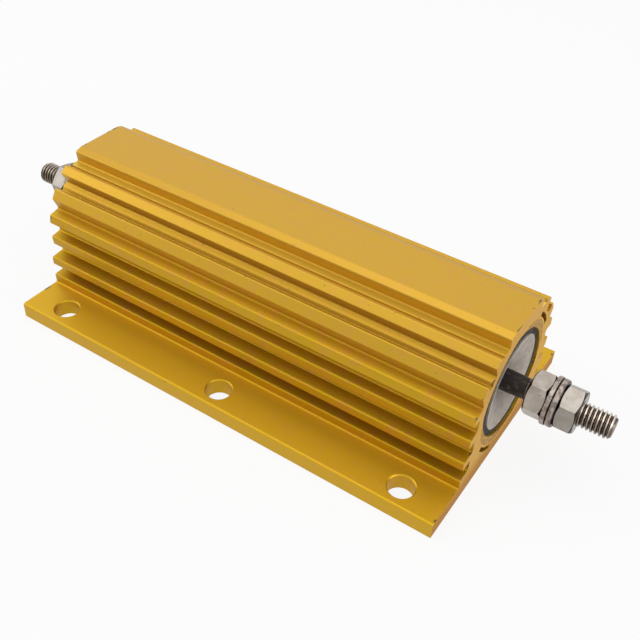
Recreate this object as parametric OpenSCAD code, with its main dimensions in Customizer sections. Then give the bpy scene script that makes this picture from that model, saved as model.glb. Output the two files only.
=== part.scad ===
// Aluminium housed power resistor, 300 W size, with threaded terminals.
// Millimetres. +X runs along the housing, +Z is up, and the base lies on Z = 0 with the origin
// under its centre. Every section drawn in the YZ plane is seen from the +X end.

/* [Housing] */
// Length of the extruded housing
body_len = 127; // [110:1:160]
// Width across the two mounting flanges
flange_w = 70; // [68:0.5:80]
// Thickness of the mounting flanges
flange_t = 4.5; // [4:0.1:5.4]
// Height from the base to the flat top
body_h = 40.5; // [40:0.5:48]
// Radius of the bore that holds the element
bore_r = 16.2; // [15.2:0.1:17]
// Wall between the bore and the floors of the grooves
tube_wall = 2.4; // [2.4:0.1:3]
// Reach of the fins above the floors of the grooves
fin_reach = 3; // [2.2:0.1:3.4]
// Height of the flat top above the tube
top_rise = 1.5; // [1.4:0.1:2.6]
// Reach of the lowest fins past the upper ones
low_fin_reach = 1; // [0.6:0.1:1.6]
// Height of the step where each flange meets the side
step_h = 2.7; // [1.5:0.1:3]
// Thickness of the fin between the step and the tube fins
low_fin_t = 2.2; // [1.6:0.1:2.6]

/* [Mounting holes] */
// Diameter of the mounting holes
hole_d = 6.6; // [5:0.1:7]
// Distance between holes along the housing
hole_pitch = 52.5; // [40:0.5:54]
// Distance from the edge of each flange to its row of holes
hole_inset = 5.5; // [5.5:0.1:6.5]
// Size of the broken edge at each hole
hole_edge = 0.3; // [0.1:0.05:0.5]

/* [Stakes] */
// Depth of the two stake marks at each end
stake_depth = 3; // [1:0.1:4]
// Width of a stake mark across the wall
stake_w = 1.2; // [0.6:0.1:1.3]
// Length of a stake mark as an angle round the bore
stake_arc = 28; // [14:1:30]
// Share of the filling's width that a stake pushes the rim across
stake_cover = 0.6; // [0.1:0.05:0.8]

/* [Element] */
// Distance from each end of the housing to the ceramic tube
core_setback = 16.5; // [13.5:0.5:28]
// Outer radius of the ceramic tube
core_r = 10; // [8:0.1:11]
// Bore radius of the ceramic tube
core_bore_r = 5; // [3:0.1:6]
// Diameter of the resistance wire
wire_d = 0.6; // [0.3:0.05:0.8]
// Bare length of ceramic between the winding and each cap
winding_gap = 0.6; // [0.3:0.1:2]
// Depth of ceramic that each cap grips
cap_grip = 3.4; // [2:0.1:6]
// Wall of the metal caps
cap_wall = 0.8; // [0.5:0.1:1]

/* [Ends] */
// Radius of the disc that closes each end
seal_r = 12.2; // [11.5:0.1:14]
// Thickness of that disc
seal_t = 6; // [3:0.1:7]
// Depth of the disc's edge below the end of the housing
seal_recess = 0.3; // [0.1:0.1:1]
// Further depth of the disc's dished face at the shank
seal_dish = 2.4; // [0.4:0.1:2.6]
// Width of the flat rim round the dish
seal_rim = 0.5; // [0.2:0.1:1]
// Depth of the filling's face below the end of the housing
fill_recess = 0.7; // [0.5:0.1:2]

/* [Terminals] */
// Thread diameter of the studs
stud_d = 6; // [5:0.1:6.4]
// Pitch of that thread
thread_pitch = 1; // [0.8:0.05:1.25]
// Diameter of the plain shank inside the end disc
shank_d = 5.4; // [5:0.1:6]
// Diameter of the neck behind the thread
neck_d = 5.2; // [4:0.1:5.3]
// Reach of each stud past the end of the housing
stud_reach = 24.5; // [22:0.5:34]
// Diameter of the flat head that is welded to the cap
head_d = 9.2; // [8:0.1:12]
// Thickness of that head
head_t = 1.5; // [1:0.1:2]
// Distance from the end of the housing to the inner nut
nut_offset = 4.5; // [3:0.1:6]
// Width across the flats of the nuts
nut_af = 10; // [9:0.1:11]
// Height of the nuts
nut_h = 4.7; // [4:0.1:5.5]
// Outer diameter of the flat washers
washer_d = 12; // [11:0.1:13]
// Thickness of the flat washers
washer_t = 1.2; // [1:0.1:1.6]
// Outer diameter of the spring washers
spring_d = 11.8; // [11:0.1:12.4]
// Thickness of the spring washers
spring_t = 1.6; // [1.2:0.1:2]
// Width of the split in the spring washers
spring_split = 0.8; // [0.5:0.1:1.5]

/* [Hidden] */
$fn = 96;

LEFT = -1;
RIGHT = 1;

// Derived sizes of the housing
tube_r = bore_r + tube_wall;
fin_r = tube_r + fin_reach;
axis_z = body_h - top_rise - tube_r;
post_y = tube_r + 0.1;
low_fin_y = fin_r + low_fin_reach;
lip_y = tube_r / 2 - 0.4;
hole_y = flange_w / 2 - hole_inset;
end_x = body_len / 2;
overcut = 1;

// Heights of the tube fins' edges above the axis of the bore, from the top fin down
top_fin_z = [15.6, 17.1];
third_fin_z = [9.8, 12.25];
second_fin_z = [3.2, 5.6];
first_fin_z = [-3.7, -1.0];

// The low fin stands midway between the step and the first tube fin
step_z = flange_t + step_h;
low_fin_z = (step_z + axis_z + first_fin_z[0] - low_fin_t) / 2;

// Edge and corner radii of the extrusion
tip_r = 0.4;
hook_r = 0.2;
floor_fillet = 0.5;
flange_edge_r = 0.5;
base_edge_r = 0.15;
shoulder_w = 2;
shoulder_drop = 0.6;
shoulder_r = 1;
curve_steps = 3;

// Stake marks: where they lie round the bore, the metal left inside them, and how far the rim is
// pushed in, to either side of a stake as well, where the pushed rim is an arc of a larger circle
stake_angles = [41, 234];
stake_lip = 0.4;
stake_push = stake_cover * (bore_r - seal_r);
stake_spread = 4;

// Derived places along the axis
core_end = end_x - core_setback;
cap_end = core_end + cap_wall;
cap_start = core_end - cap_grip;
winding_end = cap_start - winding_gap;
head_end = cap_end + head_t;
seal_face = end_x - seal_recess;
seal_back = seal_face - seal_t;
fill_face = end_x - fill_recess;
stud_tip = end_x + stud_reach;
inner_nut_x = end_x + nut_offset;
washer_x = inner_nut_x + nut_h;
spring_x = washer_x + washer_t;
outer_nut_x = spring_x + spring_t;
free_thread_x = outer_nut_x + nut_h;

// Stud and nuts meet at the thread's pitch radius, as engaged threads do
stud_r = stud_d / 2;
held_r = stud_r - 0.325 * thread_pitch;

// Small turned edges of the terminal parts
stud_chamfer = 0.8;
neck_slope = 0.4;
nut_chamfer_angle = 30;
nut_face = 0.97;
nut_mouth = 0.1;
washer_edge = 0.25;
washer_bore_play = 0.2;
inner_nut_turn = 3;
outer_nut_turn = 23;
split_turn = 300;
split_skew = 20;

// ---- Helpers ----

// Draws its children in the YZ plane and extrudes them along +X from x.
module along_x(x) {
    translate([x, 0, axis_z]) rotate([90, 0, 90]) children();
}

// Puts what is made for the right end on either end.
module on_end(side) {
    if (side == RIGHT) children();
    else mirror([1, 0, 0]) children();
}

// A solid of revolution about the bore's axis, from [x, radius] points.
module turned(points) {
    translate([0, 0, axis_z]) rotate([0, 90, 0])
        rotate_extrude() polygon([for (p = points) [p[1], p[0]]]);
}

// A ring between two radii and two places along the axis, cut to an arc.
module ring_arc(inner, outer, x0, x1, angle, arc) {
    far = outer / cos(arc / 2) + overcut;
    along_x(x0) intersection() {
        difference() {
            cylinder(r = outer, h = x1 - x0);
            translate([0, 0, -overcut]) cylinder(r = inner, h = x1 - x0 + 2 * overcut);
        }
        rotate([0, 0, angle]) translate([0, 0, -overcut])
            linear_extrude(x1 - x0 + 2 * overcut)
                polygon([[0, 0], far * [cos(arc / 2), -sin(arc / 2)], far * [cos(arc / 2), sin(arc / 2)]]);
    }
}

// ---- Housing: one extrusion, a finned tube on a flanged base ----

// A point at a radius from the bore's axis and a height above it.
function on_circle(r, dz) = [sqrt(r * r - dz * dz), axis_z + dz];

// A corner is [y, z, radius], and this is its rounded form between its two neighbours.
function rounded_corner(a, p, b) =
    let (
        to_a = [a[0] - p[0], a[1] - p[1]],
        to_b = [b[0] - p[0], b[1] - p[1]],
        len_a = norm(to_a),
        len_b = norm(to_b),
        half = acos(to_a * to_b / (len_a * len_b)) / 2,
        reach = min(p[2] / tan(half), 0.45 * min(len_a, len_b)),
        start = [p[0], p[1]] + to_a * reach / len_a,
        finish = [p[0], p[1]] + to_b * reach / len_b
    )
    [for (i = [0:curve_steps])
        let (s = i / curve_steps)
        (1 - s) * (1 - s) * start + 2 * s * (1 - s) * [p[0], p[1]] + s * s * finish];

function rounded_outline(corners) =
    let (n = len(corners))
    [for (i = [0:n - 1])
        each rounded_corner(corners[(i + n - 1) % n], corners[i], corners[(i + 1) % n])];

function corner(point, radius) = [point[0], point[1], radius];

// The two outer corners of a fin whose edges lie on the fins' common circle.
function fin_tip(z) = [corner(on_circle(fin_r, z[0]), hook_r), corner(on_circle(fin_r, z[1]), tip_r)];

// One side of the section, from the base up to the flat top.
side_corners = [
    // Flange
    [flange_w / 2, 0, base_edge_r],
    [flange_w / 2, flange_t, flange_edge_r],
    // Step at the root of the flange
    [low_fin_y, flange_t, floor_fillet],
    [low_fin_y + 0.1, step_z, tip_r],
    [post_y + 0.3, step_z + 0.3, floor_fillet],
    // Low fin, its lower edge hooked down
    [post_y + 0.2, low_fin_z + 0.2, floor_fillet],
    [low_fin_y, low_fin_z - 0.2, hook_r],
    [low_fin_y, low_fin_z + low_fin_t, tip_r],
    [post_y, low_fin_z + low_fin_t + 0.4, floor_fillet],
    // First fin of the tube
    [post_y, axis_z + first_fin_z[0] + 0.2, floor_fillet],
    each fin_tip(first_fin_z),
    corner(on_circle(tube_r, first_fin_z[1] + 0.5), floor_fillet),
    // Second fin, and the hollow face above it
    corner(on_circle(tube_r, second_fin_z[0] - 0.1), floor_fillet),
    each fin_tip(second_fin_z),
    corner(on_circle(tube_r + 0.2, second_fin_z[1] + 0.6), floor_fillet),
    // Third fin, and the notch behind it
    each fin_tip(third_fin_z),
    corner(on_circle(fin_r - 0.6, third_fin_z[1] - 0.1), hook_r),
    corner(on_circle(fin_r - 1.7, third_fin_z[1] - 1.6), hook_r),
    corner(on_circle(fin_r - 2.8, third_fin_z[1] - 1.5), hook_r),
    corner(on_circle(fin_r - 2.7, third_fin_z[1] - 0.65), hook_r),
    // Undercut of the top fin, and the notch behind it
    corner(on_circle(tube_r - 0.2, third_fin_z[1] + 0.25), floor_fillet),
    each fin_tip(top_fin_z),
    corner(on_circle(fin_r - 0.6, top_fin_z[1] - 0.1), hook_r),
    corner(on_circle(fin_r - 2, top_fin_z[1] - 1.2), hook_r),
    corner(on_circle(fin_r - 1.5, top_fin_z[1] - 0.4), hook_r),
    // Groove under the lip of the flat top
    corner(on_circle(tube_r, top_fin_z[1] - 0.6), floor_fillet),
    [lip_y, body_h - 1.4, hook_r],
    [lip_y, body_h - shoulder_drop, tip_r],
    [lip_y - shoulder_w, body_h, shoulder_r]
];

// The section is symmetric, so the other side is the same list mirrored and reversed.
section_corners = concat(
    side_corners,
    [for (i = [len(side_corners) - 1:-1:0])
        [-side_corners[i][0], side_corners[i][1], side_corners[i][2]]]
);

module extrusion() {
    translate([-end_x, 0, 0]) rotate([90, 0, 90])
        linear_extrude(body_len) polygon(rounded_outline(section_corners));
}

module mounting_hole() {
    hole_r = hole_d / 2;
    translate([0, 0, -overcut]) cylinder(r = hole_r, h = flange_t + 2 * overcut);
    translate([0, 0, flange_t - hole_edge])
        cylinder(r1 = hole_r, r2 = hole_r + hole_edge + overcut, h = hole_edge + overcut);
}

// The crescent of rim metal that a stake pushes in over the filling.
module pushed_rim(angle) {
    along_x(fill_face) rotate([0, 0, angle]) difference() {
        cylinder(r = bore_r + stake_lip, h = fill_recess);
        translate([-stake_push - stake_spread, 0, -overcut])
            cylinder(r = bore_r + stake_spread, h = fill_recess + 2 * overcut);
    }
}

module housing() {
    lip_r = bore_r + stake_lip;
    color("goldenrod") difference() {
        union() {
            difference() {
                extrusion();
                along_x(-end_x - overcut) cylinder(r = bore_r, h = body_len + 2 * overcut);
            }
            for (side = [LEFT, RIGHT], angle = stake_angles) on_end(side) pushed_rim(angle);
        }
        for (side = [LEFT, RIGHT], angle = stake_angles) on_end(side)
            ring_arc(lip_r, lip_r + stake_w, end_x - stake_depth, end_x + overcut, angle, stake_arc);
        for (x = [-hole_pitch, 0, hole_pitch], y = [-hole_y, hole_y])
            translate([x, y, 0]) mounting_hole();
    }
}

// ---- Element: ceramic tube, wire layer, caps and filling ----

module ceramic_core() {
    color("white") along_x(-core_end) difference() {
        cylinder(r = core_r, h = 2 * core_end);
        translate([0, 0, -overcut]) cylinder(r = core_bore_r, h = 2 * (core_end + overcut));
    }
}

// One close-wound layer of wire on the ceramic tube.
module resistance_winding() {
    color("dimgray") turned([
        [-winding_end, core_r], [winding_end, core_r],
        [winding_end, core_r + wire_d], [-winding_end, core_r + wire_d]
    ]);
}

module end_cap(side) {
    color("silver") on_end(side) turned([
        [cap_start, core_r], [core_end, core_r], [core_end, 0],
        [cap_end, 0], [cap_end, core_r + cap_wall], [cap_start, core_r + cap_wall]
    ]);
}

// The filling takes all the room in the bore that the element and the end discs leave.
function fill_half() = [
    [winding_end, core_r + wire_d], [winding_end, core_r],
    [cap_start, core_r], [cap_start, core_r + cap_wall],
    [cap_end, core_r + cap_wall], [cap_end, head_d / 2],
    [head_end, head_d / 2], [head_end, shank_d / 2],
    [seal_back, shank_d / 2], [seal_back, seal_r],
    [fill_face, seal_r], [fill_face, bore_r]
];

module core_fill() {
    half = fill_half();
    color("dimgray") turned(concat(
        half,
        [for (i = [len(half) - 1:-1:0]) [-half[i][0], half[i][1]]]
    ));
}

// A disc whose face is dished towards the shank.
module end_seal(side) {
    color("lightgray") on_end(side) turned([
        [seal_back, shank_d / 2], [seal_face - seal_dish, shank_d / 2],
        [seal_face, seal_r - seal_rim], [seal_face, seal_r], [seal_back, seal_r]
    ]);
}

// ---- Terminals ----

// Welded head, plain shank, narrower neck and threaded end, turned in one piece.
module terminal_stud(side) {
    color("darkgray") on_end(side) turned([
        [cap_end, 0], [cap_end, head_d / 2], [head_end, head_d / 2],
        [head_end, shank_d / 2], [seal_face, shank_d / 2],
        [inner_nut_x - neck_slope, neck_d / 2], [inner_nut_x, held_r],
        [washer_x, held_r], [washer_x, stud_r], [outer_nut_x, stud_r],
        [outer_nut_x, held_r], [free_thread_x, held_r], [free_thread_x, stud_r],
        [stud_tip - stud_chamfer, stud_r], [stud_tip, stud_r - stud_chamfer], [stud_tip, 0]
    ]);
}

// A hexagon nut with both faces and both ends of its thread chamfered.
module nut(x, turn) {
    mouth_r = stud_r + nut_mouth;
    mouth_depth = mouth_r - held_r;
    corner_r = nut_af / 2 / cos(30);
    face_r = nut_af / 2 * nut_face;
    blank_r = corner_r + overcut;
    slope = (blank_r - face_r) * tan(nut_chamfer_angle);
    intersection() {
        along_x(x) rotate([0, 0, turn]) cylinder(r = corner_r, h = nut_h, $fn = 6);
        turned([
            [x, mouth_r], [x, face_r], [x + slope, blank_r],
            [x + nut_h - slope, blank_r], [x + nut_h, face_r], [x + nut_h, mouth_r],
            [x + nut_h - mouth_depth, held_r], [x + mouth_depth, held_r]
        ]);
    }
}

module inner_nut(side) {
    color("silver") on_end(side) nut(inner_nut_x, inner_nut_turn);
}

module outer_nut(side) {
    color("silver") on_end(side) nut(outer_nut_x, outer_nut_turn);
}

module flat_washer(side) {
    outer = washer_d / 2;
    inner = stud_r + washer_bore_play;
    color("gainsboro") on_end(side) turned([
        [washer_x, inner], [washer_x, outer - washer_edge], [washer_x + washer_edge, outer],
        [spring_x - washer_edge, outer], [spring_x, outer - washer_edge], [spring_x, inner]
    ]);
}

// A split ring, drawn pressed flat between the washer and the outer nut.
module spring_washer(side) {
    outer = spring_d / 2;
    inner = stud_r + washer_bore_play;
    color("silver") on_end(side) difference() {
        turned([
            [spring_x, inner], [spring_x, outer - washer_edge], [spring_x + washer_edge, outer],
            [outer_nut_x - washer_edge, outer], [outer_nut_x, outer - washer_edge], [outer_nut_x, inner]
        ]);
        along_x(spring_x + spring_t / 2) rotate([0, 0, split_turn]) rotate([split_skew, 0, 0])
            translate([0, -spring_split / 2, -spring_t - overcut])
                cube([outer + overcut, spring_split, 2 * (spring_t + overcut)]);
    }
}

housing();
ceramic_core();
resistance_winding();
core_fill();
end_cap(LEFT);  // end_cap_left
end_cap(RIGHT);  // end_cap_right
end_seal(LEFT);  // end_seal_left
end_seal(RIGHT);  // end_seal_right
terminal_stud(LEFT);  // terminal_stud_left
terminal_stud(RIGHT);  // terminal_stud_right
inner_nut(LEFT);  // inner_nut_left
inner_nut(RIGHT);  // inner_nut_right
flat_washer(LEFT);  // flat_washer_left
flat_washer(RIGHT);  // flat_washer_right
spring_washer(LEFT);  // spring_washer_left
spring_washer(RIGHT);  // spring_washer_right
outer_nut(LEFT);  // outer_nut_left
outer_nut(RIGHT);  // outer_nut_right
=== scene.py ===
import math

import bmesh
import bpy
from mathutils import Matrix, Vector


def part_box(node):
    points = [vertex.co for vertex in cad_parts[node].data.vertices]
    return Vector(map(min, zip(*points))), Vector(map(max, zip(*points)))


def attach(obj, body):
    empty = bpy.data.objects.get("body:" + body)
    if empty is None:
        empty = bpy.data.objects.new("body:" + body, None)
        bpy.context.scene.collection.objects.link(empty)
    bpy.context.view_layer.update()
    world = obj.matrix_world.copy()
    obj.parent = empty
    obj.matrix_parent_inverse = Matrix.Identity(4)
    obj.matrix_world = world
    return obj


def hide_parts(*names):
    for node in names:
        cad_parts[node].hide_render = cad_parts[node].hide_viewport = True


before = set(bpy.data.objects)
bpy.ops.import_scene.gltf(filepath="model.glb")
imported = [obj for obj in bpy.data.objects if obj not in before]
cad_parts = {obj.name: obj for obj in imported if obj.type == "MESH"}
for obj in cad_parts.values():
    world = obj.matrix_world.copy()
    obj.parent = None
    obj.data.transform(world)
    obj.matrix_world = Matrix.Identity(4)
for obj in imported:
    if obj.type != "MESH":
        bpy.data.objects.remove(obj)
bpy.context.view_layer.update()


# Camera: it stands before the right-hand end, to the near side and above, and looks down along
# the housing. Nothing in the object is placed from it.
camera_data = bpy.data.cameras.new("camera")
camera_data.lens = 50.22
camera_data.sensor_width = 36
camera_data.clip_start = 0.01
camera = bpy.data.objects.new("camera", camera_data)
camera.location = (0.10229, -0.15132, 0.16366)
camera.rotation_euler = [math.radians(a) for a in (49.412, -2.647, 33.537)]
bpy.context.scene.collection.objects.link(camera)
bpy.context.scene.camera = camera


# Housing: one aluminium extrusion with drilled flanges, sawn to length and anodised gold, with a
# satin skin that is finely speckled and faintly drawn out along the die lines. The sawn ends
# took the dye less deeply, so they are paler, and a few corners are knocked bare.
MM = 0.001


class Shade:
    """One shader socket. Sums on it add Math nodes, and node() adds a node of any other kind."""

    def __init__(self, tree, socket=None):
        self.tree = tree
        self.socket = socket

    def node(self, kind, settings, values, out=0):
        made = self.tree.nodes.new("ShaderNode" + kind)
        for name, value in settings.items():
            setattr(made, name, value)
        for name, value in values.items():
            socket = made.inputs[name]
            if isinstance(value, Shade):
                self.tree.links.new(value.socket, socket)
            else:
                socket.default_value = value
        return Shade(self.tree, made.outputs[out])

    def math(self, operation, *values):
        return self.node("Math", {"operation": operation}, dict(enumerate(values)))

    def __add__(self, other):
        return self.math("ADD", self, other)

    __radd__ = __add__

    def __sub__(self, other):
        return self.math("SUBTRACT", self, other)

    def __rsub__(self, other):
        return self.math("SUBTRACT", other, self)

    def __mul__(self, other):
        return self.math("MULTIPLY", self, other)

    __rmul__ = __mul__

    def __abs__(self):
        return self.math("ABSOLUTE", self)

    def step(self, low, high):
        """A mask that is nothing below low and rises smoothly to one at high."""
        return self.node("MapRange", {"interpolation_type": "SMOOTHSTEP"},
                         {"Value": self, "From Min": low, "From Max": high})

    def blend(self, under, over):
        """The colour under where this mask is nothing, and over where it is one."""
        under, over = [c if isinstance(c, Shade) else (*c, 1) for c in (under, over)]
        # A Mix node has sockets of the same name for each type: 0, 6 and 7 are those for colour
        return self.node("Mix", {"data_type": "RGBA"}, {0: self, 6: under, 7: over}, out=2)

    def bump(self, strength, depth):
        return self.node("Bump", {}, {"Height": self, "Strength": strength, "Distance": depth})

    def place(self):
        """The three coordinates of a point in the object's own frame."""
        spot = self.node("TexCoord", {}, {}, out="Object")
        return [self.node("SeparateXYZ", {}, {"Vector": spot}, out=axis) for axis in "XYZ"]

    def facing(self, axis):
        """How squarely the surface faces along an axis, from 0 to 1."""
        normal = self.node("NewGeometry", {}, {}, out="Normal")
        return abs(self.node("SeparateXYZ", {}, {"Vector": normal}, out=axis))

    def noise(self, size, detail=2.0, stretch=(1, 1, 1), rough=0.5):
        spot = self.node("TexCoord", {}, {}, out="Object")
        spot = self.node("Mapping", {}, {"Vector": spot, "Scale": [s / size for s in stretch]})
        return self.node("TexNoise", {}, {
            "Vector": spot, "Scale": 1.0, "Detail": detail, "Roughness": rough})


def finish(name, make):
    """A material whose shader sockets are set from what make() returns."""
    made = bpy.data.materials.new(name)
    made.use_nodes = True
    shader = made.node_tree.nodes["Principled BSDF"]
    for socket, value in make(Shade(made.node_tree)).items():
        if isinstance(value, Shade):
            made.node_tree.links.new(value.socket, shader.inputs[socket])
        else:
            shader.inputs[socket].default_value = (*value, 1) if socket == "Base Color" else value
    return made


def coat(node, material):
    """Give a CAD mesh, used as it is, one material."""
    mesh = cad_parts[node].data
    mesh.materials.clear()
    mesh.materials.append(material)


END_X, TOP_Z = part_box("housing")[1].x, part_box("housing")[1].z
AXIS_Z = (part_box("terminal_stud_right")[0].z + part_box("terminal_stud_right")[1].z) / 2
BORE_R = 16.2 * MM
STAKE_LINE = math.radians(47.5)  # the slope of the line through the two stake marks
FLANGE_Z = 4.8 * MM  # just above the flanges
SOLE_Z, SOLE_FADE_Z = 2 * MM, 9 * MM  # the height over which the sawn end turns from a darker, redder tone below to its paler one above
LEDGE_Z, LEDGE_Y = TOP_Z - 3.7 * MM, 11.6 * MM  # the groove floor below the lip, and its edge

GOLD = (0.545, 0.315, 0.011)
GOLD_ROSE = (0.545, 0.288, 0.034)
GOLD_OLIVE = (0.505, 0.325, 0.007)
GOLD_UPPER_SHEEN = (0.535, 0.310, 0.048)
GOLD_FLANGE_LIGHT = (0.645, 0.385, 0.020)
GOLD_LEDGE_LIGHT = (0.72, 0.51, 0.07)
GOLD_SAWN = (0.62, 0.37, 0.095)
GOLD_SAWN_LOW = (0.40, 0.18, 0.03)
RIM_HIGHLIGHT_ORANGE = (0.80, 0.40, 0.03)
CHIP_GREY = (0.07, 0.055, 0.045)


def gold_anodise(s):
    x, y, z = s.place()
    speckle = s.noise(0.45 * MM, detail=3)
    mottle = s.noise(2.2 * MM, detail=3)
    cloud = s.noise(4.0 * MM, detail=2)
    die_lines = s.noise(0.35 * MM, stretch=(0.015, 1, 1), detail=2)
    saw_lines = s.noise(0.5 * MM, stretch=(1, 1, 0.06), detail=2)
    specks = s.noise(0.9 * MM, detail=1).step(0.775, 0.795)
    along, aside, up = abs(x), abs(y), z - AXIS_Z

    # Sawn end: a painted orange highlight where the bore breaks through, standing in for the light
    # caught by a fine chamfer there, which stops at the stake marks, pits in the pale metal, and
    # bruised metal where the marks push it in over the filling
    sawn = s.facing("X").step(0.9, 0.97) * along.step(END_X - 0.2 * MM, END_X - 0.1 * MM)
    from_axis = s.math("SQRT", y * y + up * up)
    inside = 1 - from_axis.step(BORE_R - 0.25 * MM, BORE_R - 0.1 * MM)
    rim = sawn * (1 - from_axis.step(BORE_R + 0.2 * MM, BORE_R + 0.4 * MM)) * (1 - inside)
    staked = abs(y * math.cos(STAKE_LINE) + up * math.sin(STAKE_LINE))
    rim = rim * (1 - staked.step(0.84 * BORE_R, 0.92 * BORE_R))
    pits = sawn * s.noise(0.45 * MM, detail=2).step(0.67, 0.72)
    bruised = sawn * inside * s.noise(0.7 * MM, detail=4, rough=0.7).step(0.36, 0.58)
    # Corners by the saw cut where the skin was knocked off
    by_end = along.step(END_X - 0.7 * MM, END_X - 0.2 * MM) * (1 - sawn)
    chips = by_end * s.noise(1.9 * MM, detail=2).step(0.60, 0.64)

    # The dyed skin varies from rose to olive. Painted light: the flat top and the upper fins are
    # painted a little paler as a sheen, the flanges are painted lighter, and the groove floor below
    # the lip is painted light against the shade the lip casts on it
    colour = (0.8 * mottle.step(0.46, 0.60)).blend(GOLD, GOLD_ROSE)
    colour = (0.6 * cloud.step(0.46, 0.60)).blend(colour, GOLD_OLIVE)
    upper_sheen = 0.55 * z.step(0.5 * TOP_Z, 0.9 * TOP_Z)
    upper_sheen = upper_sheen + 0.2 * z.step(0.96 * TOP_Z, 0.99 * TOP_Z) * mottle
    colour = upper_sheen.blend(colour, GOLD_UPPER_SHEEN)
    flange = 1 - z.step(FLANGE_Z - 0.2 * MM, FLANGE_Z + 0.2 * MM)
    colour = (0.55 * flange).blend(colour, GOLD_FLANGE_LIGHT)
    ledge = 1 - abs(z - LEDGE_Z).step(0.4 * MM, 0.6 * MM)
    ledge = ledge * (1 - aside.step(LEDGE_Y - 0.1 * MM, LEDGE_Y + 0.1 * MM))
    ledge = ledge * s.facing("Z").step(0.8, 0.95)
    colour = (0.85 * ledge).blend(colour, GOLD_LEDGE_LIGHT)

    colour = (sawn * (0.75 + 0.25 * saw_lines)).blend(colour, GOLD_SAWN)
    sole = 1 - z.step(SOLE_Z, SOLE_FADE_Z)
    colour = (0.85 * sawn * sole).blend(colour, GOLD_SAWN_LOW)
    # Painted highlight along the bore's edge
    colour = (0.8 * rim).blend(colour, RIM_HIGHLIGHT_ORANGE)
    dark = 0.6 * specks
    for marks in (0.55 * pits, 0.85 * chips, 0.5 * bruised):
        dark = s.math("MAXIMUM", dark, marks)
    height = 0.6 * speckle + (1 - sawn) * die_lines * 0.4 + sawn * saw_lines * 0.8 - pits
    return {"Base Color": dark.blend(colour, CHIP_GREY), "Metallic": 0.75,
            "Roughness": 0.38 + 0.14 * speckle + 0.32 * sawn, "Specular IOR Level": 0.2,
            "Normal": height.bump(0.25, 0.03 * MM)}


coat("housing", finish("gold anodised aluminium", gold_anodise))


# Element: a ceramic tube with one close layer of resistance wire and a pressed steel cap on each
# end. All of it is buried in the filling.
SIDES = (("left", -1), ("right", 1))
CORE_CREAM, CORE_WHITE = (0.80, 0.78, 0.73), (0.92, 0.90, 0.86)
WIRE_DARK, WIRE_PALE = (0.30, 0.28, 0.26), (0.48, 0.45, 0.42)
CAP_DARK, CAP_PALE = (0.55, 0.54, 0.52), (0.70, 0.69, 0.67)


def core_ceramic(s):
    grain = s.noise(0.4 * MM, detail=4)
    return {"Base Color": grain.blend(CORE_CREAM, CORE_WHITE), "Roughness": 0.7 + 0.15 * grain,
            "Normal": grain.bump(0.2, 0.05 * MM)}


def wound_wire(s):
    tone = s.noise(2 * MM, detail=3)
    return {"Base Color": tone.blend(WIRE_DARK, WIRE_PALE), "Metallic": 1.0,
            "Roughness": 0.3 + 0.2 * tone}


def pressed_steel(s):
    tone = s.noise(1.5 * MM, detail=4)
    return {"Base Color": tone.blend(CAP_DARK, CAP_PALE), "Metallic": 1.0,
            "Roughness": 0.28 + 0.2 * tone}


coat("ceramic_core", finish("white core ceramic", core_ceramic))
coat("resistance_winding", finish("resistance wire", wound_wire))
cap_finish = finish("pressed cap steel", pressed_steel)
for side_name, side in SIDES:
    coat("end_cap_" + side_name, cap_finish)


# Filling and end discs: dark gritty cement fills the bore round the element, and a pale disc of
# fired ceramic closes it at each end, with fine dark pits.
CEMENT_BLACK, CEMENT_GREY = (0.008, 0.008, 0.009), (0.13, 0.12, 0.115)
DISC_BUFF, DISC_PALE = (0.37, 0.315, 0.265), (0.47, 0.415, 0.36)
PIT_BROWN = (0.06, 0.05, 0.045)


def gritty_cement(s):
    grit = s.noise(0.5 * MM, detail=5, rough=0.7)
    crumbs = s.noise(1.3 * MM, detail=3)
    return {"Base Color": grit.step(0.48, 0.68).blend(CEMENT_BLACK, CEMENT_GREY),
            "Roughness": 0.75 + 0.2 * crumbs, "Normal": (grit + crumbs).bump(0.8, 0.25 * MM)}


def disc_ceramic(s):
    tone = s.noise(2.2 * MM, detail=4)
    pits = s.noise(0.55 * MM, detail=2).step(0.655, 0.70)
    grain = s.noise(0.25 * MM, detail=3)
    colour = tone.step(0.3, 0.7).blend(DISC_BUFF, DISC_PALE)
    return {"Base Color": (0.85 * pits).blend(colour, PIT_BROWN),
            "Roughness": 0.55 + 0.25 * grain, "Normal": (grain - 1.5 * pits).bump(0.35, 0.08 * MM)}


coat("core_fill", finish("dark cement", gritty_cement))
disc_finish = finish("end disc ceramic", disc_ceramic)
for side_name, side in SIDES:
    coat("end_seal_" + side_name, disc_finish)


# Terminal studs: each is turned from steel rod, with a flat head welded to the cap, a shank that
# was blackened when the element was fired, and a neck behind a rolled M6 thread left bright.
SEAL_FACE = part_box("end_seal_right")[1].x
THREAD_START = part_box("inner_nut_right")[0].x
STUD_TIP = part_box("terminal_stud_right")[1].x
HEAD_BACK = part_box("end_cap_right")[1].x
HEAD_R, HEAD_LENGTH, HEAD_EDGE = 4.6 * MM, 1.5 * MM, 0.1 * MM
SHANK_R, NECK_R = 2.7 * MM, 2.6 * MM
PITCH = 1.0 * MM
CREST_R, ROOT_R = 3.0 * MM, 2.42 * MM
ROOT_SHARE, FLANK_SHARE = 0.18, 0.62  # of half a turn: the rounded root, then the flank
TIP_CHAMFER = 0.8 * MM
STUD_SIDES = 72

SCALE_BLACK, SCALE_BROWN = (0.020, 0.015, 0.012), (0.085, 0.065, 0.05)
FLANK_BROWN, FLANK_PALE = (0.06, 0.04, 0.028), (0.15, 0.115, 0.085)
CREST_STEEL, CREST_BRIGHT = (0.46, 0.39, 0.33), (0.72, 0.65, 0.58)
CREST_SHADE, LEFT_CREST_DARK = (0.15, 0.12, 0.095), (0.15, 0.12, 0.09)


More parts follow.
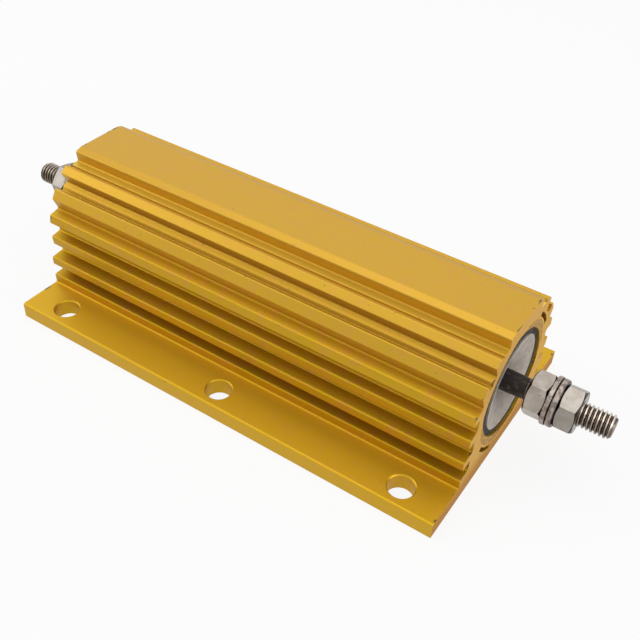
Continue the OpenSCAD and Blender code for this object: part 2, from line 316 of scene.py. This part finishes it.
def between(low, high, share):
    return low + (high - low) * min(1.0, max(0.0, share))


def even_angles(count):
    return [2 * math.pi * i / count for i in range(count)]


def round_axis(side, x, radius, angle):
    """A point at a radius and an angle round the studs' axis, on the left or the right side."""
    return side * x, radius * math.cos(angle), AXIS_Z + radius * math.sin(angle)


def skin(name, loops, capped=False):
    """A smooth mesh over loops of points, each joined to the next, with sharp edges kept."""
    count = len(loops[0])
    faces = []
    for row in range(0, count * (len(loops) - 1), count):
        for i in range(count):
            k = (i + 1) % count
            faces.append((row + i, row + k, row + count + k, row + count + i))
    if capped:
        faces += [range(count), range(count * (len(loops) - 1), count * len(loops))]
    made = bpy.data.meshes.new(name)
    made.from_pydata([point for loop in loops for point in loop], [], faces)
    work = bmesh.new()
    work.from_mesh(made)
    bmesh.ops.remove_doubles(work, verts=work.verts, dist=0.002 * MM)
    bmesh.ops.recalc_face_normals(work, faces=work.faces)
    work.to_mesh(made)
    work.free()
    made.polygons.foreach_set("use_smooth", [True] * len(made.polygons))
    made.set_sharp_from_angle(angle=math.radians(38))
    return made


def lathe(name, profile, angles, radius_at, side):
    """A turned mesh from (x, radius) points, closed on the axis where the radius is nothing."""
    loops = [[round_axis(side, x, radius_at(x, angle, r), angle) for angle in angles]
             for x, r in profile]
    return skin(name, loops[::-side])  # from right to left on both sides, so faces run alike


def add_piece(name, mesh, node, material):
    """Put a mesh in the place of a CAD node."""
    piece = bpy.data.objects.new(name, mesh)
    bpy.context.scene.collection.objects.link(piece)
    mesh.materials.append(material)
    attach(piece, "root")
    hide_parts(node)


def thread_radius(side):
    """Radius of a right-hand thread, with its run-out at the neck and its chamfered tip."""
    def at(x, angle, radius):
        if x < THREAD_START - PITCH:
            return radius
        turn = (side * x / PITCH - angle / (2 * math.pi)) % 1.0
        form = between(0, 1, (abs(turn - 0.5) * 2 - ROOT_SHARE) / FLANK_SHARE)
        full = between(ROOT_R, CREST_R, form * form * (3 - 2 * form))
        grown = between(NECK_R, full, (x - THREAD_START + PITCH) / (1.5 * PITCH))
        return min(radius, grown) if x > THREAD_START + PITCH else grown
    return at


def stud_profile():
    """Points from the head to the tip, close together along the thread."""
    head_face = HEAD_BACK + HEAD_LENGTH
    points = [(HEAD_BACK, 0), (HEAD_BACK, HEAD_R - HEAD_EDGE), (HEAD_BACK + HEAD_EDGE, HEAD_R),
              (head_face - HEAD_EDGE, HEAD_R), (head_face, HEAD_R - HEAD_EDGE),
              (head_face, SHANK_R), (SEAL_FACE, SHANK_R)]
    x = THREAD_START - PITCH
    steps = 10
    points += [(between(SEAL_FACE, x, i / steps), between(SHANK_R, NECK_R, i / steps))
               for i in range(1, steps + 1)]
    while x < STUD_TIP - 0.001 * MM:
        x = min(x + PITCH / 16, STUD_TIP)
        points.append((x, min(CREST_R, CREST_R - TIP_CHAMFER + STUD_TIP - x)))
    # Two rings on the flat tip and its centre, inside the chamfer
    return points + [(STUD_TIP, 2.0 * MM), (STUD_TIP, 1.0 * MM), (STUD_TIP, 0)]


def stud_steel(s):
    x, y, z = s.place()
    patch = s.noise(1.6 * MM, detail=4, rough=0.6)
    fine = s.noise(0.3 * MM, detail=3)
    drawn = s.noise(1.1 * MM, stretch=(0.6, 1, 1), detail=4)
    along = abs(x) + (patch - 0.5) * 3 * MM
    bright = along.step(THREAD_START - 1.2 * MM, THREAD_START - 0.2 * MM)
    up = z - AXIS_Z
    from_axis = s.math("SQRT", y * y + up * up)
    crest = from_axis.step(ROOT_R + 0.15 * MM, CREST_R - 0.16 * MM)
    # Black and brown scale from the firing on the shank, and bright crests over brown flanks
    scale = drawn.step(0.46, 0.76).blend(SCALE_BLACK, SCALE_BROWN)
    flank = patch.step(0.35, 0.65).blend(FLANK_BROWN, FLANK_PALE)
    ridge = patch.step(0.35, 0.60).blend(CREST_STEEL, CREST_BRIGHT)
    # Painted shade on the crests of the lower near side, and the left-hand thread's crests darker
    # all over
    lower_shade = 1 - (0.5 * y + 0.87 * up + (fine - 0.5) * 2 * MM).step(-0.4 * MM, 1.4 * MM)
    ridge = (0.7 * lower_shade).blend(ridge, CREST_SHADE)
    left = 1 - x.step(-1 * MM, 1 * MM)
    ridge = (0.5 * left).blend(ridge, LEFT_CREST_DARK)
    return {"Base Color": bright.blend(scale, crest.blend(flank, ridge)),
            "Metallic": 0.5 + 0.5 * bright, "Roughness": 0.42 - 0.14 * bright + 0.1 * fine,
            "Normal": (fine + 0.5 * drawn).bump(0.35, 0.04 * MM)}


stud_finish = finish("turned stud steel", stud_steel)
for side_name, side in SIDES:
    mesh = lathe("stud_" + side_name, stud_profile(), even_angles(STUD_SIDES),
                 thread_radius(side), side)
    add_piece("threaded_stud_" + side_name, mesh, "terminal_stud_" + side_name,
              stud_finish)


# Nuts: two plain hexagon nuts on each stud, cold formed and tapped, both faces chamfered, with
# the corners slightly rounded from tumbling. The inner one stays put as a stop for the lug.
HALF_FLATS = 5 * MM
TAPPED_R, NUT_MOUTH_R = 2.5 * MM, 3.1 * MM
NUT_FACE_R = 0.97 * HALF_FLATS  # the flat face inside the chamfer
NUT_CHAMFER, NUT_CHAMFER_SLOPE = 0.9 * MM, math.tan(math.radians(60))
CORNER_ROUND, EDGE_ROUND = 0.05 * MM, 0.06 * MM
NUT_TURNS = {"inner": (3, 3), "outer": (47, 23)}  # degrees, on the left and the right stud
WASHER_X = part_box("flat_washer_right")[0].x

NUT_DARK, NUT_PALE = (0.36, 0.31, 0.265), (0.47, 0.425, 0.38)
NUT_OUTER_SHADE = (0.21, 0.20, 0.175)
RUST = (0.16, 0.09, 0.05)
CHAMFER_SHADE_BLACK = (0.035, 0.025, 0.02)


def reach_of(node):
    """How near to the middle of the object a node starts, and how far out it ends."""
    low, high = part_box(node)
    return sorted((abs(low.x), abs(high.x)))


def soft_least(a, b, blend):
    """The lesser of two lengths, with the join between them rounded over."""
    low, gap = min(a, b), abs(a - b)
    return low - blend * math.log(1 + math.exp(-gap / blend))


def nut_angles(turn):
    """Angles round a hexagon, closer together towards its corners."""
    half = [0, 0.5, 1.1, 1.9, 3, 5, 8, 13, 20, 30]
    sector = half + [60 - a for a in half[-2:0:-1]]
    return [math.radians(turn + 60 * k + a) for k in range(6) for a in sector]


def nut_radius(turn):
    """Radius of a hexagon turned about the axis, which cuts off what a turned blank leaves."""
    def at(x, angle, radius):
        if radius <= NUT_MOUTH_R:
            return radius
        off = (math.degrees(angle) - turn) % 60
        flat = HALF_FLATS / math.cos(math.radians(off - 30))
        near = HALF_FLATS / math.cos(math.radians(off + 30 if off < 30 else off - 90))
        return soft_least(radius, soft_least(flat, near, CORNER_ROUND), EDGE_ROUND)
    return at


def nut_profile(start, end):
    """Points of the blank's section: countersunk mouth, face and chamfer, and the same again."""
    mouth = NUT_MOUTH_R - TAPPED_R
    # Rings close to the rim keep the flat face evenly shaded up to it
    half = [(mouth, TAPPED_R), (0, NUT_MOUTH_R), (0, NUT_MOUTH_R + 0.6 * MM),
            (0, NUT_FACE_R - 0.5 * MM), (0, NUT_FACE_R - 0.12 * MM), (0.02 * MM, NUT_FACE_R)]
    steps = 14
    for i in range(1, steps + 1):
        depth = NUT_CHAMFER * i / steps
        half.append((depth, NUT_FACE_R + NUT_CHAMFER_SLOPE * depth))
    middle = ((end - start) / 2, half[-1][1])
    return ([(start + d, r) for d, r in half + [middle]]
            + [(end - d, r) for d, r in reversed(half)] + [(start + mouth, TAPPED_R)])


def nut_steel(s):
    x = s.place()[0]
    cloud = s.noise(2.5 * MM, detail=4)
    fine = s.noise(0.25 * MM, detail=3)
    rust = s.noise(0.9 * MM, detail=4, rough=0.65).step(0.64, 0.72)
    square = s.facing("X")
    chamfer = square.step(0.12, 0.30) * (1 - square.step(0.93, 0.98))
    colour = cloud.step(0.32, 0.68).blend(NUT_DARK, NUT_PALE)
    # Painted shade: the outer nuts are painted darker, and the chamfers are painted black
    outer = abs(x).step(WASHER_X, WASHER_X + 2 * MM)
    colour = (0.5 * outer).blend(colour, NUT_OUTER_SHADE)
    colour = (0.6 * rust).blend(colour, RUST)
    colour = (chamfer * (0.8 + 0.3 * cloud)).blend(colour, CHAMFER_SHADE_BLACK)
    return {"Base Color": colour, "Metallic": 0.95, "Roughness": 0.30 + 0.12 * fine + 0.2 * rust,
            "Normal": (cloud * 2 + fine).bump(0.3, 0.05 * MM)}


nut_finish = finish("plain nut steel", nut_steel)
for position, turns in NUT_TURNS.items():
    for (side_name, side), turn in zip(SIDES, turns):
        node = position + "_nut_" + side_name
        mesh = lathe(node + "_mesh", nut_profile(*reach_of(node)), nut_angles(turn),
                     nut_radius(turn), side)
        add_piece(position + "_hex_nut_" + side_name, mesh, node, nut_finish)


# Washers: on each stud a punched flat washer, rolled over at its edge, and a split spring washer
# coiled from squared wire, both plain steel with a dull tumbled skin.
WASHER_BORE_R = 3.2 * MM
FLAT_WASHER_R, FLAT_EDGE = 6.0 * MM, 0.22 * MM
SPRING_WASHER_R, SPRING_EDGE = 5.9 * MM, 0.45 * MM
SPLIT_AT, SPLIT_WIDTH = 300, 9  # degrees round the axis
FLAT_WASHER_SIDES, SPRING_WASHER_STEPS = 96, 120

WASHER_DARK, WASHER_PALE = (0.18, 0.145, 0.12), (0.42, 0.36, 0.325)
WASHER_DIRT = (0.10, 0.07, 0.05)
GAP_SHADE_BLACK = (0.035, 0.028, 0.022)


def washer_steel(s):
    cloud = s.noise(1.2 * MM, detail=4)
    fine = s.noise(0.3 * MM, detail=4)
    dirt = s.noise(0.8 * MM, detail=4, rough=0.65).step(0.55, 0.66)
    # Painted shade: the faces and rolled edges, all but the outermost part of the rim, are painted
    # dark where the washers lie close against each other and the nuts
    gap = s.facing("X").step(0.30, 0.75)
    colour = cloud.step(0.32, 0.66).blend(WASHER_DARK, WASHER_PALE)
    colour = (0.7 * dirt).blend(colour, WASHER_DIRT)
    return {"Base Color": (0.9 * gap).blend(colour, GAP_SHADE_BLACK), "Metallic": 0.95,
            "Roughness": 0.28 + 0.2 * fine, "Normal": (cloud + fine).bump(0.4, 0.06 * MM)}


def rounded_section(start, end, outer, edge):
    """The section of a washer: a rectangle whose four corners are rounded over."""
    steps = 5
    points = []
    for x, r, first in ((end - edge, outer - edge, 0), (start + edge, outer - edge, 90),
                        (start + edge, WASHER_BORE_R + edge, 180),
                        (end - edge, WASHER_BORE_R + edge, 270)):
        for i in range(steps + 1):
            a = math.radians(first + 90 * i / steps)
            points.append((x + edge * math.cos(a), r + edge * math.sin(a)))
    return points


def plain_radius(x, angle, radius):
    return radius


def split_ring(name, section, side):
    """A ring swept from its section, open at the split, with its two ends closed."""
    first, sweep = SPLIT_AT + SPLIT_WIDTH / 2, 360 - SPLIT_WIDTH
    angles = [math.radians(first + sweep * j / SPRING_WASHER_STEPS)
              for j in range(SPRING_WASHER_STEPS + 1)]
    return skin(name, [[round_axis(side, x, r, angle) for x, r in section] for angle in angles],
                capped=True)


washer_finish = finish("plain washer steel", washer_steel)
for side_name, side in SIDES:
    node = "flat_washer_" + side_name
    section = rounded_section(*reach_of(node), FLAT_WASHER_R, FLAT_EDGE)
    mesh = lathe(node + "_mesh", section + section[:1], even_angles(FLAT_WASHER_SIDES),
                 plain_radius, side)
    add_piece("punched_washer_" + side_name, mesh, node, washer_finish)
for side_name, side in SIDES:
    node = "spring_washer_" + side_name
    section = rounded_section(*reach_of(node), SPRING_WASHER_R, SPRING_EDGE)
    mesh = split_ring(node + "_mesh", section, side)
    add_piece("split_washer_" + side_name, mesh, node, washer_finish)


# Stage: a pale floor that takes the object's shadow, a white surround for the rays that show it
# to the camera, directly or in the metal, and four soft lamps.
FLOOR_REACH = 4.0
FLOOR_GREY = 0.82
FLOOR_WHITE = 0.88  # the share of plain white in the floor, which sets how deep the shadow is
SURROUND_LIGHT = 0.48
bpy.context.scene.view_settings.view_transform = "Standard"


def white_rays(s):
    """One for the rays that show the surround itself: to the camera, or by way of metal or glass."""
    seen, mirrored, through = [s.node("LightPath", {}, {}, out=f"Is {kind} Ray")
                               for kind in ("Camera", "Glossy", "Transmission")]
    return s.math("MINIMUM", seen + mirrored + through, 1.0)


floor_mesh = bpy.data.meshes.new("floor")
floor_mesh.from_pydata([(x * FLOOR_REACH, y * FLOOR_REACH, 0)
                        for x, y in ((-1, -1), (1, -1), (1, 1), (-1, 1))], [], [(0, 1, 2, 3)])
floor = bpy.data.objects.new("floor", floor_mesh)
bpy.context.scene.collection.objects.link(floor)
paper = bpy.data.materials.new("pale floor")
paper.use_nodes = True
tree = paper.node_tree
tree.nodes.clear()
s = Shade(tree)
diffuse = s.node("BsdfDiffuse", {}, {"Color": (FLOOR_GREY, FLOOR_GREY, FLOOR_GREY, 1)})
glow = s.node("Emission", {}, {"Color": (1, 1, 1, 1), "Strength": 1.0})
mixed = s.node("MixShader", {}, {0: FLOOR_WHITE * white_rays(s), 1: diffuse, 2: glow})
output = tree.nodes.new("ShaderNodeOutputMaterial")
tree.links.new(mixed.socket, output.inputs["Surface"])
floor_mesh.materials.append(paper)

world = bpy.data.worlds.new("surround")
world.use_nodes = True
bpy.context.scene.world = world
strength = SURROUND_LIGHT + (1 - SURROUND_LIGHT) * white_rays(Shade(world.node_tree))
background = world.node_tree.nodes["Background"]
background.inputs["Color"].default_value = (1, 1, 1, 1)
world.node_tree.links.new(strength.socket, background.inputs["Strength"])


def softbox(name, place, aim, size, watts):
    lamp = bpy.data.lights.new(name, "AREA")
    lamp.shape = "RECTANGLE"
    lamp.size, lamp.size_y = size
    lamp.energy = watts
    made = bpy.data.objects.new(name, lamp)
    made.location = place
    made.rotation_euler = (Vector(aim) - Vector(place)).to_track_quat("-Z", "Y").to_euler()
    bpy.context.scene.collection.objects.link(made)


softbox("overhead", (-0.05, -0.02, 0.71), (0, 0, 0), (0.65, 0.65), 1.8)
softbox("left", (-0.65, -0.25, 0.40), (-0.03, 0, 0.02), (0.6, 0.5), 1.6)
softbox("end", (0.70, -0.05, 0.22), (0.06, 0, 0.02), (0.4, 0.3), 1.6)
softbox("back", (-0.30, 0.50, 0.45), (0, 0, 0.02), (0.7, 0.5), 0.3)
